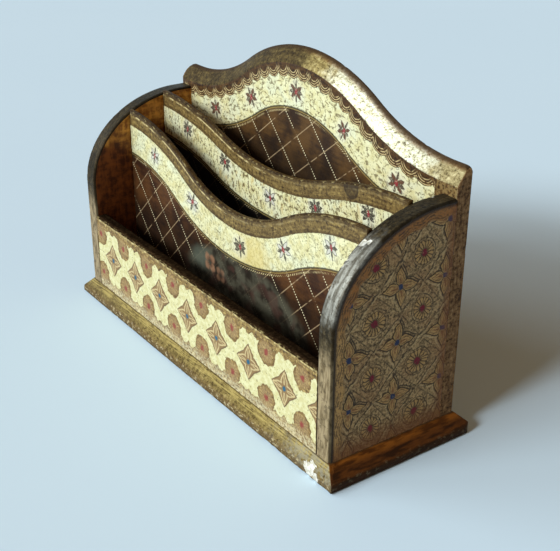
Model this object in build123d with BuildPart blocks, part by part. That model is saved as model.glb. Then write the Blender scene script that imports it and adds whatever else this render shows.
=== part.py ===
from build123d import *

import os
from math import sqrt

# Letter holder: gilded boards standing on a bevelled base, with two shaped dividers between the
# end panels that make three letter pockets. Sizes are in millimetres. X runs across the width,
# Y from front to back and Z up, with the origin under the middle of the base.

# Upright body, measured over the outside of the boards
body_width = 244.0
body_depth = 78.6

# Base board, with an upright lip under its bevelled edge
base_thickness = 11.2
base_lip_height = 4.2
base_side_margin = 7.5
base_front_margin = 4.4
base_rear_margin = 7.5

# End panels, each arched from its front edge to its level top
end_thickness = 10.5
end_height = 115.9
arch_run = 63.0
arch_rise = 50.8

# Front panel, set between the end panels
front_thickness = 7.0
front_height = 45.6

# Back panel, with level shoulders, a raised crest and a bevel along the front of its top edge.
# The crest is cut by hand, and its right shoulder stands a little higher than its left.
back_thickness = 8.8
back_left_shoulder_height = 127.4
back_right_shoulder_height = 129.8
back_shoulder_length = 10.0
back_crest_height = 160.1
crest_bend_share = 0.5
crest_bevel_drop = 8.0
crest_bevel_depth = 7.0

# Dividers, lowest in the middle, with ends that meet the arch of the end panels. A setback runs
# from the front of the body to a divider's front face, and a lift from the arch to its end.
divider_thickness = 3.2
front_divider_setback = 26.3
front_divider_lift = 0.0
front_divider_dip = 28.5
front_divider_bend_share = 0.41
rear_divider_setback = 49.7
rear_divider_lift = 1.0
rear_divider_dip = 17.6
rear_divider_bend_share = 0.42

# Grooves that house the dividers in the end panels, open at the top
groove_depth = 3.0
groove_clearance = 0.1

# Brads, driven a little below the surface
brad_radius = 0.7
brad_length = 25.0
brad_point_length = 2.0
brad_head_radius = 1.2
brad_head_thickness = 0.8
brad_sink = 0.8
brad_clearance = 0.05
brad_corner_distance = 14.0
brad_top_distance = 8.0
end_brad_count = 3
front_brad_count = 4
back_brad_count = 5
front_end_brad_count = 2
back_end_brad_count = 3

# Places that follow from the sizes above
half_width = body_width / 2
inner_half_width = half_width - end_thickness
base_width = body_width + 2 * base_side_margin
base_depth = body_depth + base_front_margin + base_rear_margin
front_y = base_front_margin - base_depth / 2
rear_y = front_y + body_depth
back_front_y = rear_y - back_thickness
end_middle_x = half_width - end_thickness / 2
front_middle_y = front_y + front_thickness / 2
back_middle_y = rear_y - back_thickness / 2
brad_hole_depth = brad_sink + brad_length + brad_clearance
brad_recess_depth = brad_sink + brad_head_thickness + brad_clearance


def upright(y):
    """Plane of a board that stands on the base with its rear face at y, looking to the front."""
    return Plane(origin=(0, y, base_thickness), x_dir=(1, 0, 0), z_dir=(0, -1, 0))


def sideways(x):
    """Plane of a board that stands on the base with its left face at x, looking to the right."""
    return Plane(origin=(x, 0, base_thickness), x_dir=(0, 1, 0), z_dir=(1, 0, 0))


def arch_height(setback):
    """Height of an end panel above the base, at a distance behind its front edge."""
    before_top = max(arch_run - setback, 0) / arch_run
    return end_height - arch_rise + arch_rise * sqrt(1 - before_top**2)


def spaced(low, high, count):
    """Places spread evenly from low to high."""
    step = (high - low) / (count - 1)
    return [low + step * number for number in range(count)]


def seam(outward, points):
    """Places on a board's face where brads go in, each looking out of the face."""
    return [Plane(origin=point, z_dir=outward).location for point in points]


def drill(places):
    """Brad holes in the board being made."""
    with Locations(*places):
        CounterBoreHole(
            radius=brad_radius + brad_clearance,
            counter_bore_radius=brad_head_radius + brad_clearance,
            counter_bore_depth=brad_recess_depth,
            depth=brad_hole_depth,
        )


def end_face(plane):
    """Side face of an end panel: upright front edge, quarter-ellipse arch and level top."""
    arch_foot = end_height - arch_rise
    arch_top_y = front_y + arch_run
    with BuildSketch(plane) as face:
        with BuildLine():
            arch = EllipticalCenterArc((arch_top_y, arch_foot), arch_run, arch_rise, 90, arc_size=90)
            Polyline(arch @ 1, (front_y, 0), (back_front_y, 0), (back_front_y, end_height), arch @ 0)
        make_face()
    return face.sketch


def waved_face(plane, half_length, wave_length, middle_height, level_heights, bend_share):
    """Face of a board whose top edge waves from its middle to level ends, in two tangent arcs a side."""
    with BuildSketch(plane) as face:
        with BuildLine():
            for side, level_height in zip((-1, 1), level_heights):
                turn_height = middle_height + (level_height - middle_height) * bend_share
                turn = (side * wave_length * bend_share, turn_height)
                inner_arc = TangentArc((0, middle_height), turn, tangent=(side, 0))
                outer_arc = TangentArc(turn, (side * wave_length, level_height), tangent=inner_arc % 1)
                end_x = side * half_length
                Polyline(outer_arc @ 1, (end_x, level_height), (end_x, 0), (0, 0))
        make_face()
    return face.sketch


def bevelled_section(plane, low, high, top_low, top_high):
    """Section of the base: flat below, an upright lip at each side and a bevel up to the top."""
    with BuildSketch(plane) as section:
        with BuildLine():
            Polyline(
                (low, 0),
                (high, 0),
                (high, base_lip_height),
                (top_high, base_thickness),
                (top_low, base_thickness),
                (low, base_lip_height),
                close=True,
            )
        make_face()
    return section.sketch


def cut_grooves(inner_face_x):
    """Housing grooves for both dividers in the inner face of an end panel."""
    for setback in (front_divider_setback, rear_divider_setback):
        middle_y = front_y + setback + divider_thickness / 2
        with Locations((inner_face_x, middle_y, base_thickness)):
            Box(
                2 * groove_depth,
                divider_thickness + 2 * groove_clearance,
                end_height + groove_clearance,
                align=(Align.CENTER, Align.CENTER, Align.MIN),
                mode=Mode.SUBTRACT,
            )


# Brad places, one seam for each pair of boards that are nailed together
end_brad_y = spaced(front_y + brad_corner_distance, back_front_y - brad_corner_distance, end_brad_count)
front_brad_reach = inner_half_width - 2 * brad_corner_distance
front_brad_x = spaced(-front_brad_reach, front_brad_reach, front_brad_count)
back_brad_reach = inner_half_width - brad_corner_distance
back_brad_x = spaced(-back_brad_reach, back_brad_reach, back_brad_count)
lowest_side_brad_z = base_thickness + brad_length
highest_front_brad_z = base_thickness + front_height - brad_top_distance
front_end_brad_z = spaced(lowest_side_brad_z, highest_front_brad_z, front_end_brad_count)
highest_back_brad_z = base_thickness + end_height - brad_top_distance
back_end_brad_z = spaced(lowest_side_brad_z, highest_back_brad_z, back_end_brad_count)

left_base_seam = seam((0, 0, -1), [(-end_middle_x, y, 0) for y in end_brad_y])
right_base_seam = seam((0, 0, -1), [(end_middle_x, y, 0) for y in end_brad_y])
front_base_seam = seam((0, 0, -1), [(x, front_middle_y, 0) for x in front_brad_x])
back_base_seam = seam((0, 0, -1), [(x, back_middle_y, 0) for x in back_brad_x])
left_front_seam = seam((-1, 0, 0), [(-half_width, front_middle_y, z) for z in front_end_brad_z])
right_front_seam = seam((1, 0, 0), [(half_width, front_middle_y, z) for z in front_end_brad_z])
left_back_seam = seam((0, 1, 0), [(-end_middle_x, rear_y, z) for z in back_end_brad_z])
right_back_seam = seam((0, 1, 0), [(end_middle_x, rear_y, z) for z in back_end_brad_z])

# Base board
with BuildPart() as base_board:
    across = bevelled_section(Plane.XZ, -base_width / 2, base_width / 2, -half_width, half_width)
    extrude(across, amount=base_depth / 2, both=True)
    front_to_back = bevelled_section(Plane.YZ, -base_depth / 2, base_depth / 2, front_y, rear_y)
    extrude(front_to_back, amount=base_width / 2, both=True, mode=Mode.INTERSECT)
    drill(left_base_seam + right_base_seam + front_base_seam + back_base_seam)

# Left end panel
with BuildPart() as left_end_panel:
    extrude(end_face(sideways(-half_width)), amount=end_thickness)
    cut_grooves(-inner_half_width)
    drill(left_base_seam + left_front_seam + left_back_seam)

# Right end panel
with BuildPart() as right_end_panel:
    extrude(end_face(sideways(inner_half_width)), amount=end_thickness)
    cut_grooves(inner_half_width)
    drill(right_base_seam + right_front_seam + right_back_seam)

# Front panel
with BuildPart() as front_panel:
    with BuildSketch(upright(front_y + front_thickness)):
        Rectangle(2 * inner_half_width, front_height, align=(Align.CENTER, Align.MIN))
    extrude(amount=front_thickness)
    drill(front_base_seam + left_front_seam + right_front_seam)

# Back panel, bevelled along the front of its crest and shoulders
with BuildPart() as back_panel:
    back_face = waved_face(
        upright(rear_y),
        half_width,
        half_width - back_shoulder_length,
        back_crest_height,
        (back_left_shoulder_height, back_right_shoulder_height),
        crest_bend_share,
    )
    extrude(back_face, amount=back_thickness)
    front_of_back = back_panel.faces().sort_by(Axis.Y)[0]
    edges_by_height = front_of_back.edges().filter_by(Axis.Z, reverse=True).group_by(Axis.Z)
    foot_edges = edges_by_height[0]
    top_edges = front_of_back.edges().filter_by(Axis.Z, reverse=True) - foot_edges
    chamfer(top_edges, length=crest_bevel_drop, length2=crest_bevel_depth, reference=front_of_back)
    drill(back_base_seam + left_back_seam + right_back_seam)

# Dividers, one behind the other
divider_half_length = inner_half_width + groove_depth - groove_clearance

with BuildPart() as front_divider:
    front_end_height = arch_height(front_divider_setback + divider_thickness) + front_divider_lift
    front_divider_face = waved_face(
        upright(front_y + front_divider_setback + divider_thickness),
        divider_half_length,
        inner_half_width,
        front_end_height - front_divider_dip,
        (front_end_height, front_end_height),
        front_divider_bend_share,
    )
    extrude(front_divider_face, amount=divider_thickness)

with BuildPart() as rear_divider:
    rear_end_height = arch_height(rear_divider_setback + divider_thickness) + rear_divider_lift
    rear_divider_face = waved_face(
        upright(front_y + rear_divider_setback + divider_thickness),
        divider_half_length,
        inner_half_width,
        rear_end_height - rear_divider_dip,
        (rear_end_height, rear_end_height),
        rear_divider_bend_share,
    )
    extrude(rear_divider_face, amount=divider_thickness)

# One brad, with its head at the origin and its point down
with BuildPart() as brad:
    with BuildSketch(Plane.XZ):
        with BuildLine():
            Polyline(
                (0, 0),
                (brad_head_radius, 0),
                (brad_head_radius, -brad_head_thickness),
                (brad_radius, -brad_head_thickness),
                (brad_radius, brad_point_length - brad_length),
                (0, -brad_length),
                close=True,
            )
        make_face()
    revolve(axis=Axis.Z)

os.makedirs("parts", exist_ok=True)

base_board.part.label = "base_board"
export_step(base_board.part, "parts/base_board.step")
left_end_panel.part.label = "left_end_panel"
export_step(left_end_panel.part, "parts/left_end_panel.step")
right_end_panel.part.label = "right_end_panel"
export_step(right_end_panel.part, "parts/right_end_panel.step")
front_panel.part.label = "front_panel"
export_step(front_panel.part, "parts/front_panel.step")
back_panel.part.label = "back_panel"
export_step(back_panel.part, "parts/back_panel.step")
front_divider.part.label = "front_divider"
export_step(front_divider.part, "parts/front_divider.step")
rear_divider.part.label = "rear_divider"
export_step(rear_divider.part, "parts/rear_divider.step")

# Brads, one group for each seam
brad_groups = {
    "left_base_brads": left_base_seam,
    "right_base_brads": right_base_seam,
    "front_base_brads": front_base_seam,
    "back_base_brads": back_base_seam,
    "left_front_brads": left_front_seam,
    "right_front_brads": right_front_seam,
    "left_back_brads": left_back_seam,
    "right_back_brads": right_back_seam,
}
for group_name, places in brad_groups.items():
    with BuildPart() as brad_group:
        with Locations(*[place * Pos(0, 0, -brad_sink) for place in places]):
            add(brad.part)
    brad_group.part.label = group_name
    export_step(brad_group.part, f"parts/{group_name}.step")
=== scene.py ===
import bpy
import numpy as np
from mathutils import Matrix, Vector


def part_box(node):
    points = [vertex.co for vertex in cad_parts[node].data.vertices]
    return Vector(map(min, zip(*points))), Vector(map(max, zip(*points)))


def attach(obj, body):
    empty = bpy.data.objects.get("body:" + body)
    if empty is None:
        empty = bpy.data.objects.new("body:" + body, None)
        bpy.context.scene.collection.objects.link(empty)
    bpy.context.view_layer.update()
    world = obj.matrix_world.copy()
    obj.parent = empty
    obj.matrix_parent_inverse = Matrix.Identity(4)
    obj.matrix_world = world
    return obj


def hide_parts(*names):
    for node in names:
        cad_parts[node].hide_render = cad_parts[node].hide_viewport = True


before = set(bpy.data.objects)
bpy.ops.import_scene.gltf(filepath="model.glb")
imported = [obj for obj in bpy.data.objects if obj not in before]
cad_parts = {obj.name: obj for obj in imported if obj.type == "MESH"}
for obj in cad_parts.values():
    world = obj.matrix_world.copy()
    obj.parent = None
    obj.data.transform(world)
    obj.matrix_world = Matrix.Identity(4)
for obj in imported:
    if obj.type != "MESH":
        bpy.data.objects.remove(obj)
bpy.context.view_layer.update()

# Letter holder dressed for rendering. Boards are made as fine closed meshes with rounded arrises,
# wear and shallow tooling, and carry the places of their ornament as named numbers, which the
# materials read. X runs across the width, Y from front to back and Z up. Sizes are in millimetres.
MM = 0.001
BODY = "root"
TURN = 2 * np.pi
DIAGONAL = 0.7071
TINY = 1e-9

# Meshes: how far boards run into their neighbours, steps between points, tooling, and wear with its sizes
JOINT = 0.4
FINE_STEP = 0.65
COARSE_STEP = 0.9
BACK_STEP = 1.0
TOOLING_DEPTH = 0.2
UNEVEN_DEPTH = 0.1
UNEVEN_SIZE = 34.0
GRAIN_DEPTH = 0.05
GRAIN_SIZE = 5.0
NICK_DEPTH = 0.3
NICK_SIZE = 2.4
CHIP_DEPTH = 0.45
CHIP_RAGGED = 1.8

# Counts of points along curves, of rows beside a rim whose distance from it is measured, and of points
# measured at a time, and the distance that points further in are given
CURVE_POINTS = 5
WAVE_POINTS = 241
ARCH_POINTS = 121
ARCH_FRONT_POINTS = 40
ARCH_LEVEL_POINTS = 12
BEVEL_RINGS = 9
LIP_RINGS = 7
EDGE_RANK = 5
CHUNK = 4000
FAR_INSIDE = 9.0

# Motifs, from the middle of each
ROSETTE_PETALS = 16
ROSETTE_REACH = 5.0
ROSETTE_RING = 7.2
LEAF_REACH = 10.8
LEAF_FULLNESS = 1.2
LEAF_SHADOW = 0.9
DIAMOND_REACH = 10.4
STAR_REACH = 7.0
STAR_BREADTH = 4.8
STAR_CORNER = 5.4

# Painted boards: middles of flowers, lattices, scallops, and the oval picture in the middle
BLOOM_STEP = 42.0
BLOOM_STRETCH = 0.82
FRONT_DIVIDER_BLOOMS = ((-82.2, 98.5), (-40.0, 83.3), (8.5, 73.3), (47.8, 86.0), (86.2, 101.1))
REAR_DIVIDER_BLOOMS = ((-83.1, 110.5), (-42.0, 101.7), (2.8, 94.1), (42.8, 101.5), (84.2, 112.1))
BACK_BLOOMS = ((-82.9, 120.0), (-45.0, 135.6), (-1.9, 148.3), (39.4, 137.3), (80.4, 122.2))
DIVIDER_LATTICE = dict(solid_angle=43.5, solid_step=12.5, dotted_angle=-50.0, dotted_step=14.5)
BACK_LATTICE = dict(solid_angle=37.5, solid_step=16.5, dotted_angle=-48.0, dotted_step=16.5)
DOT_STEP = 1.4
DASH_STEP = 1.5
SCALLOP_STEP = 10.2
SCALLOP_RADIUS = 7.2
SCALLOPS_END = 106.5
OVAL = (9.0, 38.0, 63.0, 31.0)
OVAL_MIST = (-34.0, 54.0, 18.0, 12.0)
OVAL_FLOWERS = ((-23.0, 52.5, 5.0, 0.8), (-12.0, 48.5, 4.0, 0.5))
GOLDEN_X = 20.0
GOLDEN_Z = 70.0

# Dividers. A bend is the share of a wave that its inner arc takes.
FRONT_DIVIDER_DIP = 28.5
FRONT_DIVIDER_BEND = 0.41
REAR_DIVIDER_DIP = 17.6
REAR_DIVIDER_BEND = 0.42
DIVIDER_HOUSED = 0.3
DIVIDER_RADIUS = 0.9
DIVIDER_DEPTH_STEP = 0.7
DIVIDER_UNEVEN_DEPTH = 0.08
DIVIDER_BORDER = 9.3
DIVIDER_CREAM_FOOT = 26.4

# Back panel, bevelled along the front of its top
BACK_BEND = 0.5
BACK_BEVEL_DROP = 8.0
BACK_BEVEL_DEPTH = 7.0
BACK_BEVEL_BOW = 1.2
BACK_ARRIS_DROP = 0.5
BACK_ARRIS_DEPTH = 0.35
BACK_DEPTHS = (0, 0.15, 0.4, 0.9, 1.6, 2.4, 3.2, 4.0, 4.8, 5.6, 6.3, 6.8, 7.2, 7.6, 8.0, 8.3, 8.6, 8.75)
BACK_RADIUS = 0.9
BACK_LEFT_SHOULDER = 138.6
BACK_RIGHT_SHOULDER = 141.0
BACK_SHOULDER_LENGTH = 10.0
BACK_CORNER_RADIUS = 4.5
BACK_BORDER = 16.2
BACK_CREAM_FOOT = 31.9
BACK_SIDE = 121.0

# Front panel
FRONT_STEP = 29.8
FRONT_ROW = 12.9
FRONT_MIDDLE_Z = 33.7
FRONT_RIBBON = 15.6
FRONT_WREATH = 7.2
FRONT_CREAM_END = 111.4
FRONT_RADIUS = 1.1
FRONT_DEPTH_STEP = 0.8
FRONT_LOZENGES = (-92.5, -64.3, -35.5, -5.0, 24.7, 54.9, 86.0, 114.5)

# End panels. A chip is a place and a reach.
END_STEP = 28.0
END_ROSETTE_Y = -16.5
END_ROSETTE_Z = 105.0
END_SWAY = 2.5
END_SWAY_SIZE = 26.0
END_ARCH_RUN = 63.0
END_ARCH_RISE = 50.8
END_RIM = 6.6
END_RADIUS = 1.3
END_DEPTH_STEP = 0.9
RIGHT_END_CHIPS = (
    (113.6, -18.6, 115.0, 2.4),
    (115.9, -17.4, 115.8, 1.6),
    (112.2, -29.0, 106.0, 1.4),
    (112.2, -26.6, 108.5, 1.1),
    (112.0, 22.0, 126.8, 1.2),
)

# Base board. No ring lies just at its bevel's lower arris, and points on the floor stay still.
BASE_LIP = 4.2
BEVEL_STOP = 0.5
LIP_STOP = 0.2
STILL_BELOW = 0.01
BASE_RADIUS = 0.9
BASE_CORNER_RADIUS = 5.5
BASE_CHIPS = ((112.0, -43.6, 3.8, 4.6), (116.5, -45.2, 2.2, 2.6))


# Places taken from the CAD
def corners(node):
    """A CAD node's lowest and highest corners."""
    low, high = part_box(node)
    return np.array(low) / MM, np.array(high) / MM


base_low, base_high = corners("base_board")
front_low, front_high = corners("front_panel")
back_low, back_high = corners("back_panel")
left_low = corners("left_end_panel")[0]
right_low, right_high = corners("right_end_panel")
floor_z = base_high[2]
inner_x = right_low[0]
arch_start = right_high[2] - END_ARCH_RISE - right_low[2]
back_thickness = back_high[1] - back_low[1]
front_thickness = front_high[1] - front_low[1]
base_thickness = base_high[2] - base_low[2]
bevel_drop = base_thickness - BASE_LIP
bevel_reach = {
    "left": left_low[0] - base_low[0],
    "right": base_high[0] - right_high[0],
    "front": front_low[1] - base_low[1],
    "rear": base_high[1] - back_high[1],
}


# Arithmetic that works on arrays and on the numbers inside a material alike
class Field:
    """A number or a colour inside a node tree."""

    def __init__(self, tree, socket):
        self.tree = tree
        self.socket = socket

    def __add__(self, other):
        return math_node(self.tree, "ADD", (self, other))

    __radd__ = __add__

    def __mul__(self, other):
        return math_node(self.tree, "MULTIPLY", (self, other))

    __rmul__ = __mul__

    def __sub__(self, other):
        return math_node(self.tree, "SUBTRACT", (self, other))

    def __rsub__(self, other):
        return math_node(self.tree, "SUBTRACT", (other, self))

    def __truediv__(self, other):
        return math_node(self.tree, "DIVIDE", (self, other))


def srgb(red, green, blue):
    """Colour as it looks on a screen, from 0 to 255, in the numbers that a shader takes."""
    share = np.array([red, green, blue]) / 255
    linear = np.where(share <= 0.04045, share / 12.92, ((share + 0.055) / 1.055) ** 2.4)
    return (*linear.tolist(), 1.0)


def plug(entry, value):
    """Feed a node's input from a field, or set it to a number or to a colour as it looks on a screen."""
    if isinstance(value, Field):
        value.tree.links.new(value.socket, entry)
    elif isinstance(value, tuple):
        entry.default_value = srgb(*value)
    else:
        entry.default_value = value


def math_node(tree, operation, values):
    node = tree.nodes.new("ShaderNodeMath")
    node.operation = operation
    for entry, value in zip(node.inputs, values):
        plug(entry, value)
    return Field(tree, node.outputs[0])


def shared(operation, on_arrays):
    """Function for arrays and for fields."""

    def apply(*values):
        tree = next((value.tree for value in values if isinstance(value, Field)), None)
        if tree is None:
            return on_arrays(*values)
        return math_node(tree, operation, values)

    return apply


sine = shared("SINE", np.sin)
root = shared("SQRT", np.sqrt)
size_of = shared("ABSOLUTE", np.abs)
least = shared("MINIMUM", np.minimum)
most = shared("MAXIMUM", np.maximum)
bearing = shared("ARCTAN2", np.arctan2)
fraction = shared("FRACT", lambda value: value - np.floor(value))


def ease(value, low, high):
    """Soft step, 0 at low and 1 at high."""
    if isinstance(value, Field):
        node = value.tree.nodes.new("ShaderNodeMapRange")
        node.interpolation_type = "SMOOTHSTEP"
        for name, number in (("Value", value), ("From Min", low), ("From Max", high)):
            plug(node.inputs[name], number)
        return Field(value.tree, node.outputs[0])
    share = np.clip((value - low) / (high - low), 0, 1)
    return share * share * (3 - 2 * share)


def stroke(value, half_width):
    """Drawn line where a value is nearly zero."""
    return ease(size_of(value), half_width * 1.5, half_width * 0.5)


def far_from(p, q):
    return root(p * p + q * q)


def centred(value):
    """Distance from the nearest whole number, with its sign."""
    return fraction(value + 0.5) - 0.5


def repeated(value, step):
    """Distance from the nearest whole number of steps, with its sign."""
    return centred(value / step) * step


def folded(p, q):
    """The larger and the smaller of two distances from the axes."""
    p = size_of(p)
    q = size_of(q)
    return most(p, q), least(p, q)


def within(x, z, middle_x, middle_z, reach_x, reach_z):
    """Distance from the middle of an oval, 1 on its outline."""
    return far_from((x - middle_x) / reach_x, (z - middle_z) / reach_z)


# Motifs
def end_cell(across, up, shift=0.0):
    """Place in the nearest cell of an end panel, from the middle of its motif."""
    return centred(across + shift) * END_STEP, centred(up + shift) * END_STEP


def front_cell(cell, height):
    """Place beside the nearest rosette of the front panel, and beside the nearest diamond."""
    by_rosette = (fraction(cell) - 0.5) * FRONT_STEP, size_of(height) - FRONT_ROW
    return by_rosette, (centred(cell) * FRONT_STEP, height)


def rosette(p, q):
    """Round flower: its separate petals, the ring drawn round it and its painted core."""
    radius = far_from(p, q)
    lobe = size_of(sine(bearing(q, p) * (ROSETTE_PETALS / 2)))
    apart = ease(lobe * radius, 1.5, 3.0)
    petals = apart * ease(ROSETTE_REACH + 0.9 * lobe - radius, -0.1, 0.3)
    return petals, stroke(radius - ROSETTE_RING, 0.26), ease(far_from(p, q * 0.8), 1.8, 1.2)


def leaf_rim(along, across, reach):
    """Distance inside a pointed leaf."""
    left = 1.0 - along / reach
    return LEAF_FULLNESS * along * left * (left + 0.35) - across


def quatrefoil(p, q):
    """Four pointed leaves along the axes: inside them, their outline, their veins and the painted core."""
    along, across = folded(p, q)
    rim = leaf_rim(along, across, LEAF_REACH)
    inside = ease(rim, -0.1, 0.25)
    lines = most(stroke(rim, 0.4), most(stroke(along - across, 0.4), 0.6 * stroke(rim - 1.2, 0.24)) * inside)
    veins = most(ease(across + along * 0.13, 1.1, 0.8), 0.7 * stroke(across - along * 0.28, 0.24))
    return inside, lines, veins * inside * ease(along, 1.4, 2.2), ease(far_from(p, q), 1.7, 1.2)


def diamond(p, q):
    """Diamond with hollow sides: inside it, its outline, the leaves drawn in it and the painted core."""
    along, across = folded(p, q)
    rim = (DIAMOND_REACH - (along + across) * (1 + 0.14 * across / (along + 0.01))) * 0.75
    inside = ease(rim, -0.2, 0.2)
    drawn = stroke(leaf_rim(along, across, DIAMOND_REACH - 1.4), 0.4)
    drawn = most(drawn, stroke(across - 0.1 * along, 0.22)) * ease(along, 1.8, 2.6) * ease(rim, 0.3, 0.8)
    return inside, stroke(rim - 0.1, 0.34), drawn, ease(far_from(p, q), 1.5, 1.0)


def petal(along, across, reach, width):
    """Distance inside a petal with bowed sides."""
    return (width * sine(along * (np.pi / reach)) - across) * ease(along, reach, reach - 0.2)


def star(p, q):
    """Eight-petalled star: its petals, the pale insides of the corner ones and the painted core."""
    broad = petal(size_of(p), size_of(q), STAR_BREADTH, 1.3)
    slim = petal(size_of(q), size_of(p), STAR_REACH, 0.75)
    corner = petal(*folded((p + q) * DIAGONAL, (p - q) * DIAGONAL), STAR_CORNER, 1.3)
    petals = ease(most(most(slim, broad), corner), 0.0, 0.25)
    core = most(ease(far_from(p, q), 1.2, 0.7), ease(far_from(p * 2.2, q), 2.1, 1.5))
    return petals, ease(corner, 0.35, 0.65), core


# Materials
class Paint:
    """A procedural material being made. Noises are taken at its own point unless another is given."""

    def __init__(self, name):
        self.material = bpy.data.materials.new(name)
        self.material.use_nodes = True
        self.tree = self.material.node_tree
        self.shader = self.tree.nodes["Principled BSDF"]
        self.here = None

    def add(self, kind, **settings):
        node = self.tree.nodes.new(kind)
        for key, value in settings.items():
            setattr(node, key, value)
        return node

    def read(self, name):
        """The three numbers that the mesh carries under a name."""
        attribute = self.add("ShaderNodeAttribute", attribute_name=name)
        split = self.add("ShaderNodeSeparateXYZ")
        self.tree.links.new(attribute.outputs["Vector"], split.inputs[0])
        return [Field(self.tree, socket) for socket in split.outputs]

    def point(self, *parts):
        node = self.add("ShaderNodeCombineXYZ")
        for entry, value in zip(node.inputs, parts):
            plug(entry, value)
        return Field(self.tree, node.outputs[0])

    def noise(self, size, detail=3, roughness=0.55, at=None, warp=0):
        """Random numbers around a half, with features of a size."""
        node = self.add("ShaderNodeTexNoise")
        plug(node.inputs["Vector"], self.here if at is None else at)
        node.inputs["Scale"].default_value = 1 / size
        node.inputs["Detail"].default_value = detail
        node.inputs["Roughness"].default_value = roughness
        node.inputs["Distortion"].default_value = warp
        return Field(self.tree, node.outputs[0])

    def sway(self, reach, size, detail=3, roughness=0.55):
        """Random numbers around zero, half a reach either way."""
        return reach * (self.noise(size, detail, roughness) - 0.5)

    def streaks(self, along, across, share, size, detail=3, roughness=0.55, layer=0):
        """Noise drawn out along a board, where only a share of the length counts."""
        return self.noise(size, detail, roughness, at=self.point(along * share, across, layer))

    def cells(self, at, size):
        """Distance to the nearest edge between random cells, in shares of their size."""
        node = self.add("ShaderNodeTexVoronoi", feature="DISTANCE_TO_EDGE")
        plug(node.inputs["Vector"], at)
        node.inputs["Scale"].default_value = 1 / size
        return Field(self.tree, node.outputs["Distance"])

    def tint(self, below, above, share):
        """Colour between two others."""
        node = self.add("ShaderNodeMix", data_type="RGBA")
        for number, value in ((0, share), (6, below), (7, above)):
            plug(node.inputs[number], value)
        return Field(self.tree, node.outputs[2])

    def coats(self, colour, *layers):
        """A colour with others laid over it in turn, each in its share."""
        for above, share in layers:
            colour = self.tint(colour, above, share)
        return colour

    def gilding(self, s, d, dark, middle, bright):
        """Worn gilding: patches, streaks along the board, dark grit and brighter flecks."""
        patches = self.noise(9, 4, 0.6)
        grit = self.noise(1.9, 4, 0.75)
        blend = 0.2 * patches + 0.25 * self.streaks(s, d, 0.1, 1.2) + 0.55 * grit
        return self.coats(
            dark,
            (middle, ease(blend, 0.42, 0.53)),
            (bright, 0.9 * ease(blend, 0.52, 0.61)),
            ((36, 24, 12), 0.7 * ease(grit, 0.43, 0.36)),
        )

    def chipped(self, colour, chip):
        """White gesso where the finish has chipped away, with a dirty margin."""
        ragged = chip + self.sway(0.8, 1, 4, 0.7)
        gesso = self.tint((188, 182, 164), (216, 212, 201), ease(self.noise(1.6), 0.4, 0.56))
        return self.coats(
            colour,
            ((120, 104, 76), 0.7 * ease(ragged, 0.34, 0.46)),
            (gesso, ease(ragged, 0.48, 0.6)),
        )

    def finish(self, colour, roughness, metallic=0, height=None, specular=0.2, coat=0, coat_rough=0.2):
        """The material, with bumps where a height is given."""
        values = {
            "Base Color": colour,
            "Roughness": roughness,
            "Metallic": metallic,
            "Specular IOR Level": specular,
            "Coat Weight": coat,
            "Coat Roughness": coat_rough,
        }
        for name, value in values.items():
            plug(self.shader.inputs[name], value)
        if height is not None:
            bump = self.add("ShaderNodeBump")
            bump.inputs["Strength"].default_value = 1
            bump.inputs["Distance"].default_value = MM
            plug(bump.inputs["Height"], height)
            self.tree.links.new(bump.outputs[0], self.shader.inputs["Normal"])
        return self.material


def board_paint(name):
    """Paint for a board, with the numbers of its plan, its band and its cell."""
    paint = Paint(name)
    plan = paint.read("plan")
    paint.here = paint.point(*plan)
    return paint, plan, paint.read("band"), paint.read("cell")


def plain_paint(name):
    """Paint for a piece that carries no numbers, with its noises in metres."""
    paint = Paint(name)
    paint.here = Field(paint.tree, paint.add("ShaderNodeTexCoord").outputs["Object"])
    return paint


def aged_cream(paint, s, d, stretch_s, stretch_d, cracks, specks, flakes):
    """Cream paint: mottled, with broken cracks, longer one way than the other, flakes and dirty specks."""
    lost = paint.streaks(s, d * stretch_d, stretch_s, 2.4, 4, 0.6, layer=4)
    sway = paint.sway(3, 3)
    crackle = paint.cells(paint.point(s * stretch_s + sway, d * stretch_d + sway, 0), 2.9)
    broken = ease(paint.noise(2.2, 2), 0.45, 0.56)
    grit = paint.noise(1.3, 3, 0.7) + paint.sway(0.2, 9, 1)
    return paint.coats(
        (206, 198, 146),
        ((219, 215, 170), ease(paint.noise(5), 0.38, 0.62)),
        ((210, 213, 182), 0.6 * ease(paint.noise(15, 2), 0.5, 0.62)),
        ((190, 158, 88), flakes * ease(lost, 0.57, 0.66)),
        ((86, 66, 30), cracks * ease(crackle, 0.13, 0.04) * broken),
        ((74, 66, 34), specks * ease(grit, 0.55, 0.66)),
    )


def lattice(x, z, solid_angle, solid_step, dotted_angle, dotted_step):
    """Drawn diagonal lines one way, and rows of punched dots the other."""
    a = np.radians(solid_angle)
    b = np.radians(dotted_angle)
    solid = stroke(repeated(z * np.cos(a) - x * np.sin(a), solid_step), 0.26)
    aside = repeated(z * np.cos(b) - x * np.sin(b), dotted_step)
    ahead = repeated(x * np.cos(b) + z * np.sin(b), DOT_STEP)
    return solid, ease(far_from(aside, ahead), 0.5, 0.3)


def dark_field(paint, x, z, dark, light, painted_shade_below, angles, drawn):
    """Dark varnished ground with its lattice, with painted shade below a height."""
    clouds = paint.noise(16)
    blend = 0.3 * paint.streaks(x, z, 0.2, 2) + 0.7 * clouds
    solid, dotted = lattice(x, z, **angles)
    worn = drawn * ease(paint.noise(7), 0.34, 0.5)
    return paint.coats(
        dark,
        (light, ease(blend, 0.36, 0.62)),
        # Painted shade: the ground darkens below the given height, where the board in front casts its shadow.
        ((20, 13, 8), 0.7 * ease(z + 12 * (clouds - 0.5), painted_shade_below + 14, painted_shade_below)),
        ((170, 144, 108), 0.7 * solid * worn),
        ((220, 206, 166), 0.85 * dotted * worn),
    )


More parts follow.
